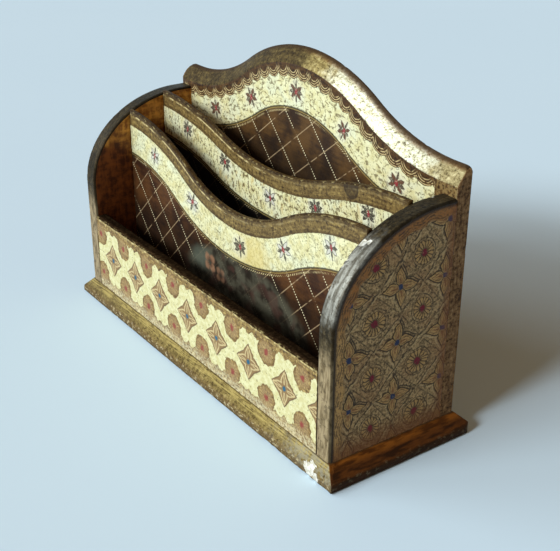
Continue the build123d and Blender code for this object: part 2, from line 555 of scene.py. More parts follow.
def painted_oval(paint, ground, x, z):
    """Soft dark oval with two plain blossoms, in the middle of the field."""
    clouds = paint.noise(10)
    colour = paint.coats(
        (34, 28, 20),
        ((76, 73, 59), ease(clouds, 0.38, 0.62)),
        ((72, 48, 40), 0.6 * ease(paint.noise(12, 1), 0.52, 0.64)),
        ((92, 98, 84), 0.6 * ease(within(x, z, *OVAL_MIST), 1, 0.3)),
    )
    soft = paint.sway(2, 3)
    for flower_x, flower_z, reach, strength in OVAL_FLOWERS:
        p = x - flower_x + soft
        q = z - flower_z - soft
        round_petals = far_from(size_of(p) - 0.5 * reach, size_of(q) - 0.5 * reach)
        petals = ease(round_petals, 0.7 * reach, 0.3 * reach)
        blossom = paint.tint((72, 44, 30), (150, 110, 82), ease(far_from(p, q), 0.1 * reach, 0.9 * reach))
        colour = paint.tint(colour, blossom, strength * petals)
    inside = ease(within(x, z, *OVAL) + 0.2 * (clouds - 0.5), 1.02, 0.86)
    return paint.tint(ground, colour, 0.92 * inside)


def divider_border(paint, x, s, d, edge, uneven):
    """Gilt border of a divider, with a pale line along the top, rubbed gilding with a painted highlight: its
    colour and the distance past it.
    """
    rim = most(ease(edge, 1.8, 0.4), ease(d + uneven, DIVIDER_BORDER - 2.2, DIVIDER_BORDER - 0.4))
    worn = ease(paint.streaks(s, d, 0.3, 1.6, 4), 0.44, 0.6)
    left_most = 0.25 + 0.75 * ease(x, 20, -30)
    colour = paint.coats(
        paint.gilding(s, d, (76, 58, 31), (114, 93, 52), (154, 131, 76)),
        ((56, 40, 22), 0.5 * rim),
        ((62, 45, 24), 0.6 * left_most * ease(d + 0.5 * uneven, 3, 1.8)),
        # Pale line along the top, fading to the right: rubbed gilding with a painted highlight.
        ((218, 198, 142), 0.75 * worn * left_most * stroke(d + 0.3 * uneven - 2.8, 0.5)),
    )
    return colour, d - DIVIDER_BORDER


def scalloped_border(paint, x, s, d, uneven):
    """Dark border of the back, with drawn scallops: its colour and the distance past it."""
    past = d - BACK_BORDER + 1.8 * ease(x, 72, 108)
    aside = repeated(s + uneven, SCALLOP_STEP)
    past = far_from(aside, most(past + SCALLOP_RADIUS, 0)) - SCALLOP_RADIUS + 0.4 * uneven
    ended = ease(x + uneven, SCALLOPS_END, SCALLOPS_END + 2.5)
    past = past - 40 * ended
    arcs = most(stroke(past + 0.6, 0.24), most(stroke(past + 1.8, 0.26), stroke(past + 3.1, 0.26)))
    arcs = arcs * ease(d, BACK_BEVEL_DROP + 1, BACK_BEVEL_DROP + 4) * ease(paint.noise(2), 0.36, 0.5)
    colour = paint.coats(
        paint.gilding(s, d, (44, 26, 9), (72, 47, 20), (100, 72, 34)),
        ((150, 124, 76), 0.6 * ended * ease(paint.noise(1.6, 4), 0.4, 0.56)),
        ((204, 182, 130), 0.8 * arcs),
    )
    return colour, past


def painted_board(name, cream, field, flowers, scalloped=False, oval=False, stain=None):
    """Face of a waved board: gilt border, cream band with stars and dark latticed field."""
    paint, (x, z, _), (s, d, edge), (bloom, beside, _) = board_paint(name)
    uneven = paint.sway(1.2, 2.4)
    if scalloped:
        gilt, past = scalloped_border(paint, x, s, d, uneven)
        lower = d + 0.5 * uneven - BACK_CREAM_FOOT
    else:
        gilt, past = divider_border(paint, x, s, d, edge, uneven)
        lower = d + 0.5 * uneven - DIVIDER_CREAM_FOOT
    if stain is not None:
        stain_x, stain_z, radius = stain
        ring = far_from(x - stain_x, z - stain_z)
        mark = most(0.6 * ease(ring, radius, radius - 1), 0.8 * stroke(ring - radius + 0.8, 0.8))
        gilt = paint.tint(gilt, (44, 33, 22), mark)

    plain = aged_cream(paint, s, d, **cream)
    ground = dark_field(paint, x, z, **field)
    if oval:
        golden = far_from(x - GOLDEN_X, z - GOLDEN_Z) + paint.sway(16, 6)
        plain = paint.tint(plain, (204, 180, 100), 0.55 * ease(golden, 24, 6))
        ground = painted_oval(paint, ground, x, z)
    p = centred(bloom) * BLOOM_STEP
    petals, insides, core = star(BLOOM_STRETCH * p + 0.7 * uneven, beside - 0.7 * uneven)
    kept = ease(paint.noise(1.2, 4, 0.75), 0.36, 0.48)
    filled = 0
    for number in flowers["filled"]:
        filled = most(filled, ease(size_of(bloom - number), 0.5, 0.4))
    plain = paint.coats(
        plain,
        ((218, 217, 196), 0.4 * ease(far_from(p, beside), 8.5, 4.5)),
        (flowers["petals"], 0.92 * petals * kept),
        (flowers["insides"], 0.85 * insides * filled),
        ((140, 40, 48), 0.9 * core * kept),
    )

    dashes = stroke(repeated(s + lower, DASH_STEP), 0.3) * stroke(lower - 2.3, 0.5)
    colour = paint.coats(
        gilt,
        (plain, ease(past + 0.6 * uneven, -0.15, 0.25)),
        (ground, ease(lower, 0, 0.4)),
        ((44, 36, 18), 0.85 * stroke(lower, 0.34)),
        ((164, 144, 84), 0.6 * stroke(lower - 0.9, 0.26)),
        ((206, 188, 136), 0.75 * dashes * ease(paint.noise(14), 0.42, 0.55)),
    )
    return paint.finish(colour, 0.4 + 0.2 * paint.noise(3), height=0.1 * paint.noise(1.5), coat=0.04)


def front_material():
    """Front of the front panel: a lobed cream ribbon round brown diamonds, between rows of rosettes."""
    paint, (x, z, _), (s, d, edge), (cell, height, _) = board_paint("cream_front")
    grit = paint.noise(1.7, 4, 0.75)
    shaky = paint.sway(1, 2.6)
    cell = cell + 0.04 * shaky
    height = height + 1.2 * shaky
    (p, q), by_diamond = front_cell(cell, height)
    around = far_from(p, q)
    gilt = paint.coats(
        paint.gilding(x, z, (84, 62, 30), (140, 114, 62), (196, 172, 110)),
        # Paler gilt near the foot: a painted highlight.
        ((218, 208, 170), 0.6 * ease(height, -14, -20) * ease(grit, 0.36, 0.56)),
        ((112, 76, 48), 0.45 * ease(around, 10, 6) * ease(grit, 0.56, 0.44)),
        ((124, 95, 58), 0.55 * ease(paint.noise(2.4, 4, 0.7), 0.5, 0.6)),
    )
    cream = paint.coats(
        (196, 187, 134),
        ((209, 203, 156), ease(paint.noise(3), 0.4, 0.6)),
        ((140, 124, 72), 0.6 * ease(grit, 0.42, 0.34)),
    )
    fingers = 2.2 * size_of(sine(cell * (TURN * 2)))
    ribbon = least(around - FRONT_WREATH, FRONT_RIBBON + fingers - size_of(height))
    ribbon = least(ribbon, FRONT_CREAM_END - size_of(x))
    ribbon = ribbon + paint.sway(3, 4, 1) + 1.6 * (grit - 0.5)
    disc = ease(around + 4 * (grit - 0.5), 6.4, 5) * (0.5 + 0.5 * ease(grit, 0.4, 0.52))
    rays = ease(size_of(sine(bearing(q, p) * (ROSETTE_PETALS / 2))), 0.4, 0.75)
    inside, lines, drawn, core = diamond(*by_diamond)
    rubbed_and_highlit = ease(paint.streaks(s, d, 0.4, 1.4, 4), 0.44, 0.62)
    colour = paint.coats(
        gilt,
        (cream, ease(ribbon, -0.15, 0.25)),
        ((112, 84, 48), 0.5 * stroke(ribbon + 0.2, 0.26)),
        ((188, 162, 112), 0.4 * disc),
        ((108, 74, 48), 0.55 * disc * rays * ease(grit, 0.42, 0.56)),
        ((132, 44, 44), 0.85 * ease(around + 5 * (grit - 0.5), 2.3, 1.1)),
        ((128, 98, 60), 0.95 * inside),
        ((206, 186, 136), 0.75 * drawn),
        ((84, 58, 36), 0.75 * lines),
        ((30, 86, 112), core),
        ((66, 46, 24), 0.7 * ease(grit, 0.42, 0.34)),
        # Pale line along the top arris: rubbed gilding with a painted highlight.
        ((212, 194, 136), 0.8 * ease(edge, 1.6, 0.4) * ease(d, 3, 2) * rubbed_and_highlit),
    )
    return paint.finish(colour, 0.42 + 0.2 * paint.noise(3), height=0.25 * grit, coat=0.04)


def end_material():
    """Outside of an end panel: rosettes and quatrefoils by turns on a tooled ground, with a gilt rim."""
    paint, (y, z, _), (s, d, _), (across, up, chip) = board_paint("tooled_end")
    grit = paint.noise(1.4, 4, 0.75)
    mottle = paint.noise(4, 4, 0.6)
    blend = 0.3 * mottle + 0.7 * grit
    broken = ease(paint.noise(4), 0.4, 0.52)
    shaky = paint.sway(0.1, 4.4)
    across = across + shaky
    up = up - shaky
    rising = centred(across - up + 0.5) * (END_STEP * DIAGONAL)
    falling = centred(across + up + 0.5) * (END_STEP * DIAGONAL)
    drawn = most(stroke(rising, 0.4) * most(broken, 0.4), 0.8 * stroke(falling, 0.34) * broken)
    p, q = end_cell(across, up)
    petals, ring, core = rosette(p, q)
    colour = paint.coats(
        (86, 66, 38),
        ((182, 152, 104), ease(blend, 0.4, 0.6)),
        ((132, 90, 50), 0.35 * ease(paint.noise(16, 2), 0.46, 0.62)),
        ((36, 25, 13), 0.85 * drawn),
        # Pale line beside each rising line: painted highlight of the tooling.
        ((200, 180, 132), 0.4 * stroke(rising - 1, 0.3) * broken),
        ((58, 38, 20), 0.8 * ease(far_from(p, q), 6.4, 5.8)),
        ((182, 146, 90), 0.85 * petals),
        ((38, 26, 14), 0.85 * ring * most(broken, 0.4)),
        ((112, 12, 34), core * ease(grit, 0.36, 0.46)),
    )

    p, q = end_cell(across, up, 0.5)
    shadow = stroke(leaf_rim(*folded(p - LEAF_SHADOW, q - LEAF_SHADOW), LEAF_REACH), 0.38)
    shine = stroke(leaf_rim(*folded(p + LEAF_SHADOW, q + LEAF_SHADOW), LEAF_REACH), 0.34)
    inside, lines, veins, core = quatrefoil(p, q)
    colour = paint.coats(
        colour,
        ((30, 20, 11), 0.85 * shadow * ease(p + q, -1, 2)),
        ((196, 174, 128), 0.4 * shine * ease(p + q, 1, -2)),
        ((182, 144, 86), 0.75 * inside),
        ((104, 54, 28), 0.8 * veins),
        ((40, 26, 14), 0.9 * lines),
        ((22, 40, 76), 0.95 * core),
        ((36, 26, 14), 0.7 * ease(grit, 0.44, 0.35)),
        ((206, 188, 142), 0.5 * ease(grit, 0.6, 0.7)),
    )

    wavy = d + 0.8 * sine(s * (TURN / 13)) + 2 * (mottle - 0.5)
    drawn = most(stroke(wavy - 3.6, 0.3), most(stroke(wavy - 5, 0.3), stroke(wavy - 6.4, 0.3)))
    rim = paint.coats(
        (188, 148, 88),
        ((152, 100, 46), ease(s, arch_start - 6, arch_start + 16)),
        ((70, 48, 26), 0.7 * ease(blend, 0.46, 0.58)),
        ((54, 36, 20), 0.75 * drawn * broken),
    )
    # Amber towards the foot and the back edge.
    amber_by_foot_and_back = most(ease(z + 14 * (blend - 0.5), 25, 13), ease(y + 12 * (blend - 0.5), 22, 29))
    colour = paint.coats(
        colour,
        (rim, 0.9 * ease(wavy, END_RIM + 1.6, END_RIM)),
        ((116, 68, 30), 0.7 * amber_by_foot_and_back),
        ((28, 18, 11), 0.95 * ease(d + 3 * (blend - 0.5), 3.4, 1.8)),
    )
    colour = paint.chipped(colour, chip)
    return paint.finish(colour, 0.45 + 0.2 * paint.noise(2), height=0.45 * grit, coat=0.03)


def edge_material(name, dark, middle, bright, darker_behind, metallic):
    """Worn gilt edge of a board, dark at its arrises, pale along the front one, rubbed gilding with a painted
    highlight, and darker behind.
    """
    paint, (_, _, depth), (s, _, edge), _ = board_paint(name)
    rubbed_and_highlit = ease(paint.streaks(s, depth, 0.25, 0.9, 4), 0.5, 0.64)
    colour = paint.coats(
        paint.gilding(s, depth, dark, middle, bright),
        ((40, 28, 16), 0.6 * ease(edge, 1.3, 0.3)),
        # Pale along the front arris: rubbed gilding with a painted highlight.
        ((216, 196, 134), 0.3 * rubbed_and_highlit * ease(depth, 1, 0.2)),
        # Darker behind the front arris.
        ((12, 7, 4), darker_behind * ease(depth, 1, 3)),
    )
    relief = 0.15 * paint.noise(1.1)
    return paint.finish(colour, 0.32 + 0.25 * paint.noise(2), metallic, relief, specular=metallic)


def end_edge_material(name, silvered_and_highlit):
    """Edge of an end panel: speckled below and darker above, silvery between, a painted highlight over
    gilding that hands have rubbed.
    """
    paint, (_, _, depth), (s, _, edge), (_, _, chip) = board_paint(name)
    streaks = paint.streaks(s, depth, 0.2, 1.8, 4)
    low = paint.tint((122, 103, 73), (172, 150, 114), ease(streaks, 0.36, 0.62))
    high = paint.gilding(s, depth, (32, 26, 15), (56, 46, 29), (88, 74, 48))
    shifted = s + paint.sway(30, 6, 4, 0.65)
    colour = paint.tint(low, high, ease(shifted, 44, 66))
    if silvered_and_highlit:
        # Silvery band round the knee of the arch: a painted highlight over rubbed gilding.
        silver_and_highlight = paint.tint((96, 91, 80), (152, 149, 138), ease(streaks, 0.36, 0.66))
        colour = paint.tint(colour, silver_and_highlight, ease(shifted, 66, 80) * ease(shifted, 122, 108))
    colour = paint.coats(
        colour,
        ((58, 46, 28), 0.5 * ease(paint.noise(2.2, 4), 0.54, 0.64)),
        ((34, 25, 15), 0.7 * ease(edge, 1.6, 0.4)),
    )
    colour = paint.chipped(colour, chip)
    relief = 0.25 * paint.noise(1.3)
    return paint.finish(colour, 0.3 + 0.25 * paint.noise(2), 0.4, relief, specular=0.05)


def back_edge_material():
    """Bevel along the back's top: dark at the left, golden, then bright on the right slope, a painted
    highlight over rubbed gilding, with brown side edges.
    """
    paint, (u, v, depth), (s, _, _), _ = board_paint("bevel_gilt")
    dark = paint.gilding(s, depth, (50, 38, 18), (78, 63, 34), (108, 91, 52))
    golden = paint.gilding(s, depth, (112, 94, 52), (156, 137, 84), (200, 184, 130))
    bright = paint.gilding(s, depth, (152, 143, 112), (186, 180, 154), (210, 205, 184))
    brown = paint.gilding(v, depth, (80, 56, 34), (122, 92, 60), (154, 124, 86))
    shifted = u + paint.sway(26, 5)
    # Bright right slope: a painted highlight laid over rubbed gilding, which also shines more as metal.
    rubbed_and_highlit = ease(shifted, 16, 34) * (1 - 0.8 * ease(shifted, 94, 110))
    bared = ease(depth + paint.sway(2, 2), 4, 5.6) * ease(u, -10, 20)
    behind = ease(depth + paint.sway(1.6, 1.5), 4.6, 6.4)
    side = ease(size_of(u), BACK_SIDE, BACK_SIDE + 0.6)
    colour = paint.coats(
        dark,
        (golden, 0.85 * ease(shifted, -6, 14)),
        (bright, rubbed_and_highlit),
        ((116, 80, 46), 0.6 * bared),
        ((54, 36, 20), 0.85 * behind),
        (brown, side),
    )
    spots = paint.noise(1.2)
    metal = (0.15 + 0.55 * rubbed_and_highlit) * (1 - most(behind, side))
    return paint.finish(colour, 0.3 + 0.3 * spots, metal, 0.25 * spots, specular=0.05)


def base_material():
    """Gilt base moulding, streaked along its length, with a painted highlight along its bevel, amber at the
    right with painted shade low down, and a dark rubbed lip.
    """
    paint, (x, y, depth), (s, _, _), (_, _, chip) = board_paint("gilt_base")
    sway = paint.streaks(s, 0, 0.06, 2, layer=3) - 0.5
    # A painted highlight runs along the upper part of the bevel.
    painted_highlight_band = ease(size_of(depth - 1.9 + 1.2 * sway), 2.4, 1)
    streaks = ease(paint.streaks(s, depth, 0.05, 0.6), 0.42, 0.58)
    brushed = ease(paint.streaks(s, depth, 0.15, 1.6, 4, layer=7), 0.36, 0.62)
    amber = paint.tint((84, 45, 13), (140, 82, 27), brushed)
    # The darker amber lower on the right side is painted shade.
    shaded_amber = paint.tint((52, 28, 11), (96, 54, 21), brushed)
    amber = paint.tint(amber, shaded_amber, ease(depth + 2 * sway, 1.2, 4))
    mitre = most(front_low[1] - y, 0) * (bevel_reach["right"] / bevel_reach["front"])
    turned = x - right_high[0] - mitre + paint.sway(0.8, 1)
    beside = ease(turned, -0.6, 1)
    greyed = ease(x + paint.sway(50, 6), 72, 104)
    spotted = ease(paint.noise(2.2, 4, 0.7), 0.38, 0.56)
    grit = paint.noise(1.2, 4, 0.7)
    dirt = paint.tint((92, 72, 42), (44, 30, 17), beside)
    lip = ease(depth + 1.3 * beside + 2 * (grit - 0.5), 7.2, 8.6)
    flecks = ease(paint.streaks(s, depth, 0.7, 1.9, 4, 0.7), 0.54, 0.62)
    colour = paint.coats(
        paint.gilding(s, depth, (84, 68, 33), (120, 102, 57), (156, 138, 87)),
        ((84, 70, 46), 0.35 * ease(x + paint.sway(60, 7), -40, -90)),
        ((176, 156, 92), 0.6 * painted_highlight_band * streaks),
        ((104, 76, 50), 0.35 * ease(depth, 4.8, 7)),
        ((140, 134, 114), 0.65 * greyed * spotted),
        (amber, ease(turned, -0.4, 0.5)),
        ((48, 35, 19), 0.6 * ease(grit, 0.46, 0.38) * ease(depth, 4.6, 7.2)),
        ((46, 33, 17), 0.6 * ease(depth, 0.8, 0.1)),
        (dirt, 0.8 * lip),
        ((40, 27, 15), 0.7 * ease(depth + 1.4 * (grit - 0.5), 9.6, 10.6)),
        ((190, 174, 136), 0.7 * flecks * ease(depth, 5.4, 7.4) * (1 - 0.8 * beside)),
    )
    colour = paint.chipped(colour, chip)
    relief = 0.25 * paint.streaks(s, depth, 0.4, 1.4)
    return paint.finish(colour, 0.38 + 0.25 * paint.noise(3), 0.15, relief, specular=0.05)


def inside_material():
    """Stained wood inside the pockets, amber near the top and dark below, the dark being painted shade in the
    pockets.
    """
    paint, (u, v, depth), _, _ = board_paint("stained_inside")
    upright = paint.noise(1.6, at=paint.point(u, v * 0.12, depth))
    level = paint.noise(1.6, at=paint.point(u * 0.12, v, depth))
    brushed = 0.3 * upright + 0.2 * level + 0.5 * paint.noise(4.5, 4, 0.6)
    share = ease(brushed, 0.4, 0.6)
    amber = paint.tint((134, 78, 26), (214, 150, 62), share)
    # Dark below and amber near the top: painted shade, deepest low in the pockets.
    colour = paint.coats(
        (64, 27, 8),
        ((118, 61, 21), share),
        (amber, ease(v + paint.sway(34, 11, 2), 94, 112)),
        ((34, 14, 5), 0.2 * ease(v, 76, 46)),
    )
    return paint.finish(colour, 0.42 + 0.2 * brushed, height=0.1 * brushed, coat=0.06)


def rear_material():
    """Plain back and underside, washed brown over the wood."""
    paint, (u, v, depth), _, _ = board_paint("brown_wash")
    grain = paint.noise(1.2, 4, at=paint.point(u * 0.06, v, depth), warp=0.4)
    colour = paint.coats(
        (100, 73, 44),
        ((154, 119, 76), ease(0.6 * grain + 0.4 * paint.noise(20), 0.38, 0.62)),
        ((44, 30, 18), 0.6 * ease(paint.noise(0.9), 0.6, 0.72)),
    )
    return paint.finish(colour, 0.5 + 0.2 * grain, coat=0.1, coat_rough=0.3)


def steel_material():
    """Drawn wire of the brads."""
    paint = plain_paint("brad_steel")
    dull = paint.noise(0.002)
    colour = paint.tint((120, 118, 114), (168, 166, 160), dull)
    return paint.finish(colour, 0.3 + 0.3 * dull, metallic=1)


def floor_material():
    """Pale paper under the holder."""
    paint = plain_paint("pale_paper")
    colour = paint.tint((213, 236, 251), (217, 239, 253), paint.noise(0.5, 2))
    return paint.finish(colour, 0.9, specular=0.1)


# Mesh tools
def chance(cell, seed):
    """Fixed random number from 0 to 1 for each cell of a grid."""
    cell = cell.astype(np.int64)
    mixed = cell[:, 0] * 73856093 ^ cell[:, 1] * 19349663 ^ cell[:, 2] * 83492791 ^ (seed + 1) * 40503
    mixed = mixed & 0xFFFFFFFF
    mixed = (mixed ^ (mixed >> 15)) * 0x2C1B3C6D & 0xFFFFFFFF
    mixed = (mixed ^ (mixed >> 12)) * 0x297A2D39 & 0xFFFFFFFF
    return ((mixed ^ (mixed >> 15)) & 0xFFFF) / 0xFFFF


def rough(points, size, seed):
    """Smooth random numbers from 0 to 1, with features of a size."""
    scaled = points / size
    cell = np.floor(scaled)
    share = scaled - cell
    share = share * share * (3 - 2 * share)
    total = np.zeros(len(scaled))
    for corner in np.ndindex(2, 2, 2):
        weight = np.prod(np.where(corner, share, 1 - share), axis=1)
        total += weight * chance(cell + corner, seed)
    return total


def straight(start, end, count):
    return np.linspace(np.array(start, float), np.array(end, float), count)


def rectangle(left, right, low, high, columns, rows):
    """Bottom, right, top and left sides."""
    return (
        straight((left, low), (right, low), columns),
        straight((right, low), (right, high), rows),
        straight((left, high), (right, high), columns),
        straight((left, low), (left, high), rows),
    )


def resample(line, count):
    """Points evenly spaced along a line."""
    steps = np.hypot(*np.diff(line, axis=0).T)
    run = np.concatenate([[0], np.cumsum(steps)])
    places = np.linspace(0, run[-1], count)
    return np.stack([np.interp(places, run, line[:, 0]), np.interp(places, run, line[:, 1])], axis=1)


def measure(line, points):
    """Length along a line to the place nearest each point, and the distance to that place."""
    steps = np.diff(line, axis=0)
    lengths = np.hypot(*steps.T)
    run = np.concatenate([[0], np.cumsum(lengths)])
    along = np.empty(len(points))
    aside = np.empty(len(points))
    for start in range(0, len(points), CHUNK):
        part = slice(start, start + CHUNK)
        offset_x = points[part, :1] - line[None, :-1, 0]
        offset_y = points[part, 1:2] - line[None, :-1, 1]
        share = np.clip((offset_x * steps[:, 0] + offset_y * steps[:, 1]) / lengths**2, 0, 1)
        gap = (offset_x - share * steps[:, 0]) ** 2 + (offset_y - share * steps[:, 1]) ** 2
        best = gap.argmin(1)
        rows = np.arange(len(best))
        along[part] = run[best] + share[rows, best] * lengths[best]
        aside[part] = np.sqrt(gap[rows, best])
    return along, aside


def coons(bottom, right, top, left):
    """Grid of points between four sides that meet at their ends."""
    u = np.linspace(0, 1, len(bottom))[None, :, None]
    v = np.linspace(0, 1, len(left))[:, None, None]
    ruled = (1 - v) * bottom[None] + v * top[None] + (1 - u) * left[:, None] + u * right[:, None]
    low = (1 - u) * bottom[0] + u * bottom[-1]
    high = (1 - u) * top[0] + u * top[-1]
    return ruled - (1 - v) * low - v * high


def loop_of(bottom, right, top, left):
    """The four sides joined into one closed line."""
    return np.concatenate([bottom[:-1], right[:-1], top[:0:-1], left[:0:-1]])


def grid_faces(rows, columns):
    index = np.arange(rows * columns).reshape(rows, columns)
    quads = index[:-1, :-1], index[:-1, 1:], index[1:, 1:], index[1:, :-1]
    return index, np.stack([corner.ravel() for corner in quads], axis=1)


def rounded(depth, thickness, radius):
    """How far an outline lies in at a depth, where both arrises are rounded."""
    reach = max(radius - depth, radius - (thickness - depth), 0.0)
    return radius - np.sqrt(radius**2 - min(reach, radius) ** 2)


def rounded_depths(thickness, radius, step):
    """Depths that follow two rounded arrises and cross the thickness in steps."""
    curve = radius * (1 - np.cos(np.linspace(0, np.pi / 2, CURVE_POINTS)))
    count = max(int((thickness - 2 * radius) / step), 1)
    middle = np.linspace(radius, thickness - radius, count + 1)[1:-1]
    return np.concatenate([curve, middle, (thickness - curve)[::-1]])


def softened(value, width=0.35):
    """The value where it is above zero, with a soft bend there."""
    return width * np.logaddexp(0, value / width)


class Board:
    """Closed board: a face at either end of its depth, and a skin of rings between them."""

    def __init__(self, name, ring, depths, place, arrises=None):
        self.name = name
        first = coons(*ring(depths[0]))
        last = coons(*ring(depths[-1]))
        rows, columns = first.shape[:2]
        index, faces = grid_faces(rows, columns)
        rim = loop_of(index[0], index[:, -1], index[-1], index[:, 0])
        face_count = rows * columns
        outlines = [loop_of(*ring(depth)) for depth in depths[1:-1]]
        flat = np.concatenate([first.reshape(-1, 2), *outlines, last.reshape(-1, 2)])
        counts = [face_count, *[len(rim)] * len(outlines), face_count]
        self.plan = np.column_stack([flat, np.repeat(depths, counts)])
        self.points = place(self.plan)

        last_start = len(flat) - face_count
        starts = face_count + len(rim) * np.arange(len(outlines))
        loops = [rim, *[start + np.arange(len(rim)) for start in starts], last_start + rim]
        skin = []
        for near, far in zip(loops[:-1], loops[1:]):
            skin.append(np.stack([near, far, np.roll(far, -1), np.roll(near, -1)], axis=1))
        skin = np.concatenate(skin)
        self.faces = np.concatenate([faces, skin, last_start + faces[:, ::-1]])
        self.zones = np.repeat([0, 1, 2], [len(faces), len(skin), len(faces)])
        if self.volume() < 0:
            self.faces = self.faces[:, ::-1]

        rank = np.minimum.outer(
            np.minimum(np.arange(rows), np.arange(rows)[::-1]),
            np.minimum(np.arange(columns), np.arange(columns)[::-1]),
        )
        near_rim = np.flatnonzero(rank.ravel() < EDGE_RANK)
        self.edge = np.full(len(flat), FAR_INSIDE)
        for start, grid in ((0, first), (last_start, last)):
            outline = grid.reshape(-1, 2)[rim]
            closed = np.vstack([outline, outline[:1]])
            self.edge[start + near_rim] = measure(closed, flat[start + near_rim])[1]
        between = slice(face_count, last_start)
        arrises = (depths[0], depths[-1]) if arrises is None else arrises
        self.edge[between] = np.abs(self.plan[between, 2:] - np.array(arrises)).min(1)
        self.front = np.arange(len(flat)) < face_count
        self.band = np.zeros((len(flat), 2))
        self.cell = np.zeros((len(flat), 2))
        self.chip = np.zeros(len(flat))
        self.carved = np.zeros(len(flat))

    def quads(self):
        """The four corners of every face."""
        return [self.points[self.faces[:, corner]] for corner in range(4)]

    def volume(self):
        """Six times the volume inside, below zero where the faces look inwards."""
        a, b, c, d = self.quads()
        return (np.cross(b - a, c - a) * a).sum() + (np.cross(c - a, d - a) * a).sum()

    def normals(self):
        a, b, c, d = self.quads()
        across = np.cross(c - a, d - b)
        total = np.zeros_like(self.points)
        for axis in range(3):
            for corner in range(4):
                total[:, axis] += np.bincount(self.faces[:, corner], across[:, axis], len(total))
        return total / np.maximum(np.linalg.norm(total, axis=1, keepdims=True), TINY)

    def round_corner(self, axes, corner, radius):
        """Round off an outer corner, along the third axis."""
        corner = np.array(corner, float)
        centre = corner - np.sign(corner) * radius
        offset = self.points[:, axes] - centre
        beyond = (offset * np.sign(corner) > 0).all(1)
        reach = np.linalg.norm(offset, axis=1)
        over = beyond & (reach > radius)
        scale = np.where(over, radius / np.maximum(reach, TINY), 1.0)
        self.points[:, axes] = centre + offset * scale[:, None]

    def carve(self, raised):
        """Set the front back between raised ornament, away from its arrises."""
        ground = TOOLING_DEPTH * (1 - raised) * ease(self.edge, 0.5, 2.0)
        self.carved = np.where(self.front, ground, 0.0)

    def wear(self, seed, chips=(), depth=UNEVEN_DEPTH, still=None):
        """Sink the surface where it is uneven, carved, nicked or chipped, except at still points."""
        nicks = ease(rough(self.points, NICK_SIZE, seed), 0.66, 0.9) * ease(self.edge, 1.3, 0.2)
        for *place, reach in chips:
            away = np.linalg.norm(self.points - np.array(place), axis=1) / reach
            chip = ease(away + 0.9 * (rough(self.points, CHIP_RAGGED, seed + 1) - 0.5), 1.0, 0.75)
            self.chip = np.maximum(self.chip, chip)
        sink = depth * rough(self.points, UNEVEN_SIZE, seed + 2)
        sink = sink + GRAIN_DEPTH * rough(self.points, GRAIN_SIZE, seed + 3)
        sink = sink + NICK_DEPTH * nicks + CHIP_DEPTH * self.chip + self.carved
        if still is not None:
            sink = np.where(still, 0.0, sink)
        self.points = self.points - self.normals() * sink[:, None]

    def make(self, materials, node, slot):
        """The Blender object that stands for a CAD node."""
        mesh = bpy.data.meshes.new(self.name)
        count = len(self.faces)
        mesh.vertices.add(len(self.points))
        mesh.vertices.foreach_set("co", (self.points * MM).ravel())
        mesh.loops.add(4 * count)
        mesh.loops.foreach_set("vertex_index", self.faces.ravel())
        mesh.polygons.add(count)
        mesh.polygons.foreach_set("loop_start", 4 * np.arange(count))
        for material in materials:
            mesh.materials.append(material)
        mesh.polygons.foreach_set("material_index", self.zones)
        mesh.update(calc_edges=True)
        carried = {
            "plan": self.plan,
            "band": np.column_stack([self.band, self.edge]),
            "cell": np.column_stack([self.cell, self.chip]),
        }
        for name, values in carried.items():
            attribute = mesh.attributes.new(name, "FLOAT_VECTOR", "POINT")
            attribute.data.foreach_set("vector", values.astype(np.float32).ravel())
        mesh.shade_smooth()
        piece = bpy.data.objects.new(self.name, mesh)
        bpy.context.scene.collection.objects.link(piece)
        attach(piece, BODY)
        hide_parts(node)
        return piece


# Boards
def wave_line(half_length, reach, middle, left_level, right_level, bend):
    """Top edge from left to right: two tangent arcs on each side of the middle, then level."""
    x = np.linspace(-half_length, half_length, WAVE_POINTS)
    level = np.where(x < 0, left_level, right_level)
    rise = level - middle
    whole = (reach**2 + rise**2) / (2 * rise)
    inner = bend * whole
    outer = (1 - bend) * whole
    run = np.minimum(np.abs(x), reach)
    turn = bend * reach
    near = middle + inner - np.sign(inner) * np.sqrt(inner**2 - np.minimum(run, turn) ** 2)
    far = level - outer + np.sign(outer) * np.sqrt(outer**2 - (reach - np.maximum(run, turn)) ** 2)
    return np.column_stack([x, np.where(run < turn, near, far)])


def lowered(line, inset):
    """A top edge moved in across itself."""
    slope = np.gradient(line[:, 1], line[:, 0])
    length = np.sqrt(1 + slope**2)
    return np.column_stack([line[:, 0] + inset * slope / length, line[:, 1] - inset / length])


def standing_at(face_y):
    """Placing of a board across the holder, with its depth towards the back."""

    def place(plan):
        return np.column_stack([plan[:, 0], face_y + plan[:, 2], plan[:, 1]])

    return place


def waved_board(name, line, blooms, face_y, depths, top_inset, side_inset, step):
    """Board on the base whose top edge is a line, with flowers along it."""
    columns = int((line[-1, 0] - line[0, 0]) / step)
    rows = int((line[:, 1].max() - floor_z) / step)

    def ring(depth):
        side = side_inset(depth)
        inner = lowered(line, top_inset(depth))
        x = np.linspace(line[0, 0] + side, line[-1, 0] - side, columns)
        top = np.column_stack([x, np.interp(x, inner[:, 0], inner[:, 1])])
        bottom = straight((x[0], floor_z - JOINT), (x[-1], floor_z - JOINT), columns)
        return bottom, straight(bottom[-1], top[-1], rows), top, straight(bottom[0], top[0], rows)

    board = Board(name, ring, depths, standing_at(face_y))
    board.band = np.column_stack(measure(line, board.plan[:, :2]))
    along, below = measure(line, np.array(blooms))
    bloom_along = np.concatenate([[along[0] - BLOOM_STEP], along, [along[-1] + BLOOM_STEP]])
    numbers = np.arange(-1, len(blooms) + 1)
    s, d = board.band.T
    board.cell = np.column_stack([np.interp(s, bloom_along, numbers), d - np.interp(s, along, below)])
    return board


